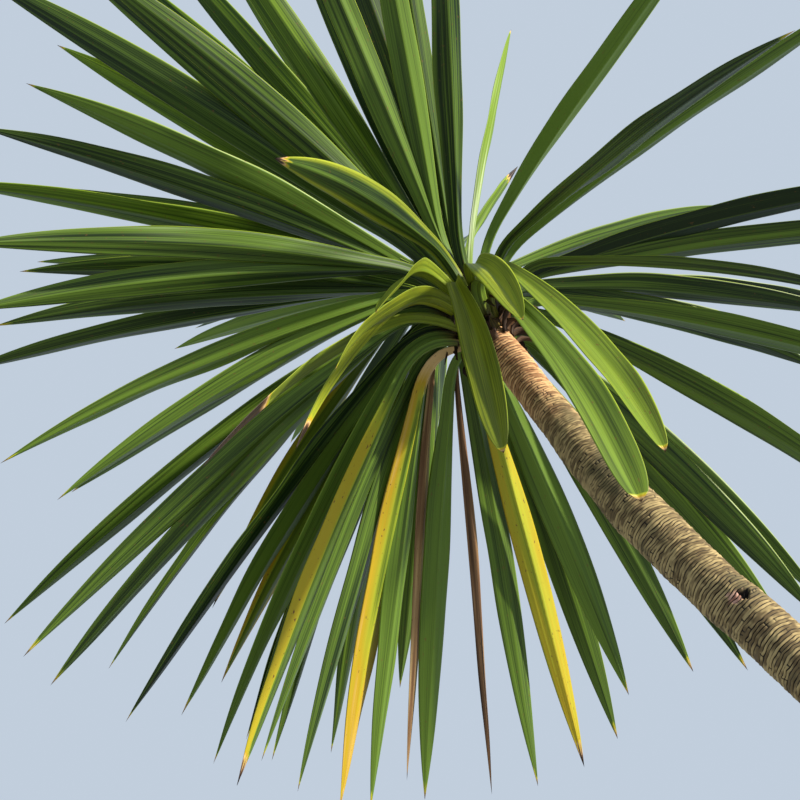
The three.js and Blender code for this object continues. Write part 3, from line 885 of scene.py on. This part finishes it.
def leaf_finish(name, shade, light, roughness):
    """Green in lengthwise bands between a shade and a light, with pale edges, a root darkened by painted
    shade, painted over as it browns and where it carries painted light.
    """
    material, tree, shader = new_finish(name, roughness)
    uv = tree.nodes.new("ShaderNodeUVMap")
    uv.uv_map = "blade"
    split = tree.nodes.new("ShaderNodeSeparateXYZ")
    wire(tree, split.inputs[0], uv.outputs[0])
    u, v = split.outputs[0], split.outputs[1]
    leaf = reading(tree, "leaf_number")
    blade_place = (u, v, leaf)
    edge = maths(tree, "ABSOLUTE", maths(tree, "SUBTRACT", maths(tree, "MULTIPLY", u, 2.0), 1.0))
    lines = blade_noise(tree, blade_place, 30.0, 2.0)
    bands = blade_noise(tree, blade_place, 6.0, 1.5)
    streak = maths(tree, "ADD", maths(tree, "MULTIPLY", lines, 0.5), maths(tree, "MULTIPLY", bands, 0.5))
    own_tone = mottle(tree, place_on(tree, maths(tree, "MULTIPLY", leaf, 0.41), 0.5, 0.5), 1.0, 0.0)
    toned = maths(tree, "ADD", streak, maths(tree, "MULTIPLY", maths(tree, "SUBTRACT", own_tone, 0.5), 0.5))
    green = tint(tree, between(tree, toned, 0.34, 0.66), shade, light)
    green = tint(tree, between(tree, edge, 0.95, 0.99), green, paint(132, 150, 40))
    ridge = maths(tree, "MULTIPLY", between(tree, edge, 0.07, 0.02), between(tree, v, 0.9, 0.3))
    green = tint(tree, maths(tree, "MULTIPLY", ridge, 0.30), green, paint(120, 146, 50))
    # The root is papery brown, and its dark end is painted shade where the leaves crowd round the stem.
    papery_root_and_shade = tint(tree, between(tree, lines, 0.42, 0.62), paint(26, 17, 10), paint(112, 74, 36))
    frayed = maths(tree, "ADD", v, maths(tree, "MULTIPLY", bands, 0.05))
    green = tint(tree, between(tree, frayed, 0.105, 0.045), green, papery_root_and_shade)
    # This number is real browning plus painted light: glow on the near leaves and a highlight on leaf 7's
    # base.
    wither_and_light = reading(tree, "wither_and_light")
    uneven = maths(tree, "MULTIPLY", maths(tree, "SUBTRACT", lines, 0.5), 0.25)
    uneven = maths(tree, "MULTIPLY", uneven, between(tree, wither_and_light, 0.02, 0.2))
    rough_wither_and_light = maths(tree, "ADD", wither_and_light, uneven)
    # At 0.62 the row's pale cream is straw, and on leaf 7's base it is a painted highlight.
    dried_and_lit = ramp(
        tree,
        rough_wither_and_light,
        [
            (0.00, paint(118, 142, 28)),
            (0.22, paint(158, 162, 38)),
            (0.42, paint(180, 146, 24)),
            (0.62, paint(204, 170, 116)),
            (0.80, paint(126, 92, 62)),
            (1.00, paint(34, 23, 15)),
        ],
    )
    colour = tint(tree, between(tree, rough_wither_and_light, 0.02, 0.24), green, dried_and_lit)
    specks = blade_noise(tree, blade_place, 12.0, 90.0)
    spotted = maths(tree, "MULTIPLY", between(tree, specks, 0.66, 0.72), between(tree, wither_and_light, -0.4, 0.4))
    colour = tint(tree, spotted, colour, paint(104, 70, 36))
    wire(tree, shader.inputs["Base Color"], colour)
    shader.inputs["Specular IOR Level"].default_value = LEAF_SHINE
    return material


finishes = {
    "leaf": leaf_finish("leaf", paint(18, 36, 8), paint(92, 118, 36), 0.44),
    "leaf_young": leaf_finish("leaf_young", paint(30, 56, 6), paint(108, 136, 26), 0.44),
    "leaf_yellow": leaf_finish("leaf_yellow", paint(50, 78, 16), paint(104, 128, 30), 0.50),
    "leaf_dry": leaf_finish("leaf_dry", paint(90, 70, 46), paint(140, 110, 76), 0.75),
}
print("leaf finishes:", ", ".join(finishes))

# %% [markdown]
# ## All the leaves
# They could all be one mesh, but the loop here makes each a piece of its own that stands for its solid, so
# a scene that needs fewer leaves can drop some. The youngest ones all stand for the heart, which is one
# solid.

# %% One leaf as a piece
LEAF_NUMBER_STEP = 3.7


def node_of(rank):
    return "heart" if rank >= HEART_RANK else f"leaf_{rank:02d}"


def slot_of(rank):
    if rank in DRY:
        return "leaf_dry"
    if rank in YELLOW:
        return "leaf_yellow"
    return "leaf_young" if rank >= HEART_RANK else "leaf"


def make_blade(name, habit, node, slot):
    root, rings, tip = blade_rings(habit)
    blade = skin(name, [(root, rings, tip)])
    rows, places = rings.shape[:2]
    whole_share = np.concatenate([[0.0], share[:, 0], [1.0]])

    def across_and_along(row, place, of_row):
        return 1.0 - np.abs(1.0 - place / ACROSS), np.interp(row, np.arange(-1, rows + 1), whole_share)

    def unrolled(row, place, of_row):
        return inset(place / places, edge=0.02), inset((row + 1.0) / (rows + 1.0))

    lay_map(blade, "blade", rows, places, across_and_along)
    lay_map(blade, "OFBake", rows, places, unrolled)
    wither_and_light = wither_and_light_of(habit)
    mark_points(blade, "wither_and_light", np.append(wither_and_light.ravel(), [wither_and_light[0].mean(), 1.0]))
    mark_points(blade, "leaf_number", np.full(len(blade.data.vertices), LEAF_NUMBER_STEP * habit["rank"]))
    dress(blade, finishes[slot])
    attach(blade, "root")
    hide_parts(node)
    return blade


print("leaf 20 stands for", node_of(20), "and wears", slot_of(20))

# %% Every leaf on the head
blades = []
for rank in ranks:
    blades.append(make_blade(f"blade_{rank:02d}", leaf_habit(rank), node_of(rank), slot_of(rank)))
print(len(blades), "blades,", sum(len(blade.data.polygons) for blade in blades), "faces")

# %% [markdown]
# ## Leaves that lie close beside another
# In places the head carries two or three leaves pressed together, where one solid stands for the bundle.
# Extra blades thrown at random would close the gaps that the head shows. So each takes its neighbour's
# habit and is turned a few degrees aside, and a bundle spreads like a fan.

# %% Extra blades in the bundles
# For each: the neighbour's rank, degrees of swing and opening beside it, and the share of its length.
BUNDLED = [
    (7, -5, 2, 1.00), (15, -8, 0, 1.02), (28, -15, -1, 0.86),
    (49, -12, 0, 0.80), (28, -8, 1, 0.94), (23, -6, 1, 1.00),
    (20, 8, -2, 0.97), (41, 8, 1, 0.98), (60, 11, 1, 0.90),
    (81, 12, 0, 0.95), (55, 14, 0, 0.95), (63, -13, 1, 0.96),
    (52, 8, -1, 0.95), (39, -9, 1, 0.97), (44, 10, 0, 0.95),
    (31, -10, 1, 0.92), (19, -10, 0, 0.95), (27, 10, 1, 0.96),
    (35, -9, 2, 1.00), (9, 9, 0, 0.94), (22, 8, 2, 0.98),
    (51, -12, 2, 1.00), (59, 12, 1, 0.95), (43, 12, 0, 1.00),
]
FIRST_EXTRA_RANK = 100
FAN_HEIGHT = 0.003
GREEN_BESIDE_GOLD = 7

for number, (rank, swing, opening, length) in enumerate(BUNDLED):
    habit = leaf_habit(rank)
    habit["rank"] = FIRST_EXTRA_RANK + number
    habit["swing"] += swing
    habit["opening"] += opening
    habit["length"] *= length
    habit["height"] += FAN_HEIGHT
    slot = "leaf" if rank == GREEN_BESIDE_GOLD else slot_of(rank)
    blades.append(make_blade(f"blade_{rank:02d}_{number:02d}", habit, node_of(rank), slot))
print(len(BUNDLED), "extra blades,", len(blades), "in all")

# %% [markdown]
# ## The spear
# At the very tip the next leaves are still rolled round each other and stand up as a spear. A cone would do
# from afar. These are made with the same blade as the rest, only narrow, deeply folded and almost upright.

# %% Furled leaves at the tip
SPEAR_LEAVES = 6
OUTER_OPENING, INNER_OPENING = 6.0, 1.0
OUTER_HEIGHT, INNER_HEIGHT = 0.140, 0.150
OUTER_LENGTH, INNER_LENGTH = 0.22, 0.31
SPEAR_DROOP, SPEAR_WIDE, SPEAR_FOLD = 0.02, 0.42, 0.9

for number in range(SPEAR_LEAVES):
    inward = number / (SPEAR_LEAVES - 1)
    habit = leaf_habit(LEAF_COUNT - 1)
    habit["rank"] = LEAF_COUNT + number
    habit["compass"] = math.radians(FIRST_COMPASS + GOLDEN_ANGLE * habit["rank"])
    habit["opening"] = mix(OUTER_OPENING, INNER_OPENING, inward)
    habit["start"] = math.radians(habit["opening"])
    habit["height"] = mix(OUTER_HEIGHT, INNER_HEIGHT, inward)
    habit["length"] = mix(OUTER_LENGTH, INNER_LENGTH, inward)
    habit["droop"] = SPEAR_DROOP
    habit["wide"] = SPEAR_WIDE
    habit["furled"] = SPEAR_FOLD
    make_blade(f"spear_{number}", habit, "heart", "leaf_young")
print(SPEAR_LEAVES, "furled leaves in the spear")

# %% [markdown]
# ## Scraps of old sheath
# Where old leaves have dropped, the torn rims of their bases stay on the stem and dry to curled brown
# scraps. They fill the space under the lowest leaves, and their very dark brown is partly painted shade
# that makes this space dark. They are too thin and torn for solids, so they are made here, all in one mesh:
# a short strip for each, bent outward and down, and curled across.

# %% Sizes of the scraps
SCRAP_COUNT, SCRAP_ROWS, SCRAP_PLACES = 64, 14, 12
SCRAP_LENGTH, SCRAP_WIDTH, SCRAP_THICKNESS = 0.050, 0.014, 0.0008
SCRAP_TOP, SCRAP_BOTTOM = 0.060, -0.020
SCRAP_ROOT_LEAN, SCRAP_TIP_LEAN, ROOT_LEAN_SCATTER, TIP_LEAN_SCATTER = 35.0, 150.0, 20.0, 25.0
SCRAP_CURL = 1.1
SCRAP_SEED = 2000


def scrap_body(number):
    """One curled strip: its first point, its rings and its last point."""
    draw = dice(SCRAP_SEED + number, 6)
    height = mix(SCRAP_BOTTOM, SCRAP_TOP, number / (SCRAP_COUNT - 1))
    turn = head @ Matrix.Rotation(math.radians(GOLDEN_ANGLE * number + 9.0 * draw[0]), 4, "Z")
    length = SCRAP_LENGTH * (1.0 + 0.45 * draw[1])
    half = SCRAP_WIDTH * (1.0 + 0.4 * draw[2]) / 2
    reach = np.linspace(0.0, 1.0, SCRAP_ROWS)[:, None]
    root_lean = SCRAP_ROOT_LEAN + ROOT_LEAN_SCATTER * draw[3]
    tip_lean = SCRAP_TIP_LEAN + TIP_LEAN_SCATTER * draw[4]
    lean = np.radians(mix(root_lean, tip_lean, smooth(reach * 1.3)))
    step = length / SCRAP_ROWS
    out = float(trunk_radius(-height)) + np.cumsum(np.sin(lean), axis=0) * step
    up = height + np.cumsum(np.cos(lean), axis=0) * step
    place = np.arange(SCRAP_PLACES)
    there, back = 4.0 * place / SCRAP_PLACES - 1.0, 3.0 - 4.0 * place / SCRAP_PLACES
    side = np.where(place <= SCRAP_PLACES / 2, there, back)
    outer = np.where(place % (SCRAP_PLACES // 2) == 0, 0.0, np.where(place > SCRAP_PLACES / 2, 1.0, -1.0))
    torn = 1.0 - 0.85 * reach**3 + 0.25 * noise(9.0 * reach + number, side + number, 31)
    curl = SCRAP_CURL * (1.0 + 0.8 * reach * draw[5]) * side
    sideways = half * torn * np.sin(curl)
    raised = half * torn * (np.cos(curl) - 1.0) + outer * SCRAP_THICKNESS / 2
    rings = np.stack([out + raised * np.cos(lean), sideways, up - raised * np.sin(lean)], axis=-1)
    placed = rings @ np.array(turn.to_3x3()).T + np.array(turn.translation)
    return placed[0].mean(axis=0), placed, placed[-1].mean(axis=0)


print("a scrap is about", SCRAP_LENGTH * 1000, "mm long")

# %% The scraps in one mesh
# The scraps sit near the dark brown end of the row, partly as painted shade under the head.
DRY_AND_SHADE, DRY_AND_SHADE_SCATTER, DRY_AND_SHADE_SEED = 0.97, 0.03, 7
scraps = skin("dry_sheaths_and_shade", [scrap_body(number) for number in range(SCRAP_COUNT)])


def scrap_map(row, place, of_row):
    """Paints a scrap like the middle of a blade, clear of the papery root and the tip."""
    along = inset((row + 1.0) / (SCRAP_ROWS + 1.0), edge=0.2)
    return 1.0 - np.abs(1.0 - 2.0 * place / SCRAP_PLACES), along


lay_map(scraps, "blade", SCRAP_ROWS, SCRAP_PLACES, scrap_map)
points_each = SCRAP_ROWS * SCRAP_PLACES + 2
dry_and_shade = DRY_AND_SHADE + DRY_AND_SHADE_SCATTER * np.array(dice(DRY_AND_SHADE_SEED, SCRAP_COUNT))
mark_points(scraps, "wither_and_light", np.repeat(dry_and_shade, points_each))
mark_points(scraps, "leaf_number", np.repeat(LEAF_NUMBER_STEP * np.arange(SCRAP_COUNT), points_each))
dress(scraps, finishes["leaf_dry"])
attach(scraps, "root")
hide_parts("trunk")
print(SCRAP_COUNT, "scraps,", len(scraps.data.polygons), "faces")

# %% [markdown]
# ## Floor, light and air
# A plain pale floor and soft light show the plant and nothing else. The sun in the photo stands on the
# right and a little toward the viewer, so the main lamp does too. It is wider than the sun, so its shadows
# have a soft edge, and a plain pale air all round fills them.

# %% Floor
FLOOR_HALF = 2.2
FLOOR_X, FLOOR_Y = -0.9, 0.6
FLOOR_COLOUR = paint(148, 148, 145)
floor_mesh = bpy.data.meshes.new("floor")
floor_sides = [(-1, -1), (1, -1), (1, 1), (-1, 1)]
floor_corners = [(FLOOR_X + x * FLOOR_HALF, FLOOR_Y + y * FLOOR_HALF, 0.0) for x, y in floor_sides]
floor_mesh.from_pydata(floor_corners, [], [(0, 1, 2, 3)])
floor = bpy.data.objects.new("floor", floor_mesh)
bpy.context.scene.collection.objects.link(floor)
floor_material, _, floor_shader = new_finish("floor", 0.8)
floor_shader.inputs["Base Color"].default_value = FLOOR_COLOUR
dress(floor, floor_material)
print("floor:", 2.0 * FLOOR_HALF, "m wide")

# %% Light and air
SUN_FROM = Vector((0.78, -0.42, 0.45))
SUN_POWER, SUN_ANGLE = 7.5, 2.0
SUN_COLOUR = (1.0, 0.95, 0.86)
SKY_COLOUR = paint(216, 230, 246)
SKY_POWER = 0.78


def aim(lamp, toward):
    """Turns a lamp, which shines along its own -Z, toward a direction."""
    lamp.rotation_mode = "QUATERNION"
    lamp.rotation_quaternion = toward.to_track_quat("-Z", "Y")


sun_data = bpy.data.lights.new("sun", "SUN")
sun_data.energy = SUN_POWER
sun_data.angle = math.radians(SUN_ANGLE)
sun_data.color = SUN_COLOUR
sun = bpy.data.objects.new("sun", sun_data)
aim(sun, -SUN_FROM)
bpy.context.scene.collection.objects.link(sun)

air = bpy.data.worlds.new("air")
air.use_nodes = True
background = air.node_tree.nodes["Background"]
background.inputs["Color"].default_value = SKY_COLOUR
background.inputs["Strength"].default_value = SKY_POWER
bpy.context.scene.world = air
bpy.context.scene.view_settings.view_transform = "Standard"
print("lamps:", [light.name for light in bpy.data.lights])
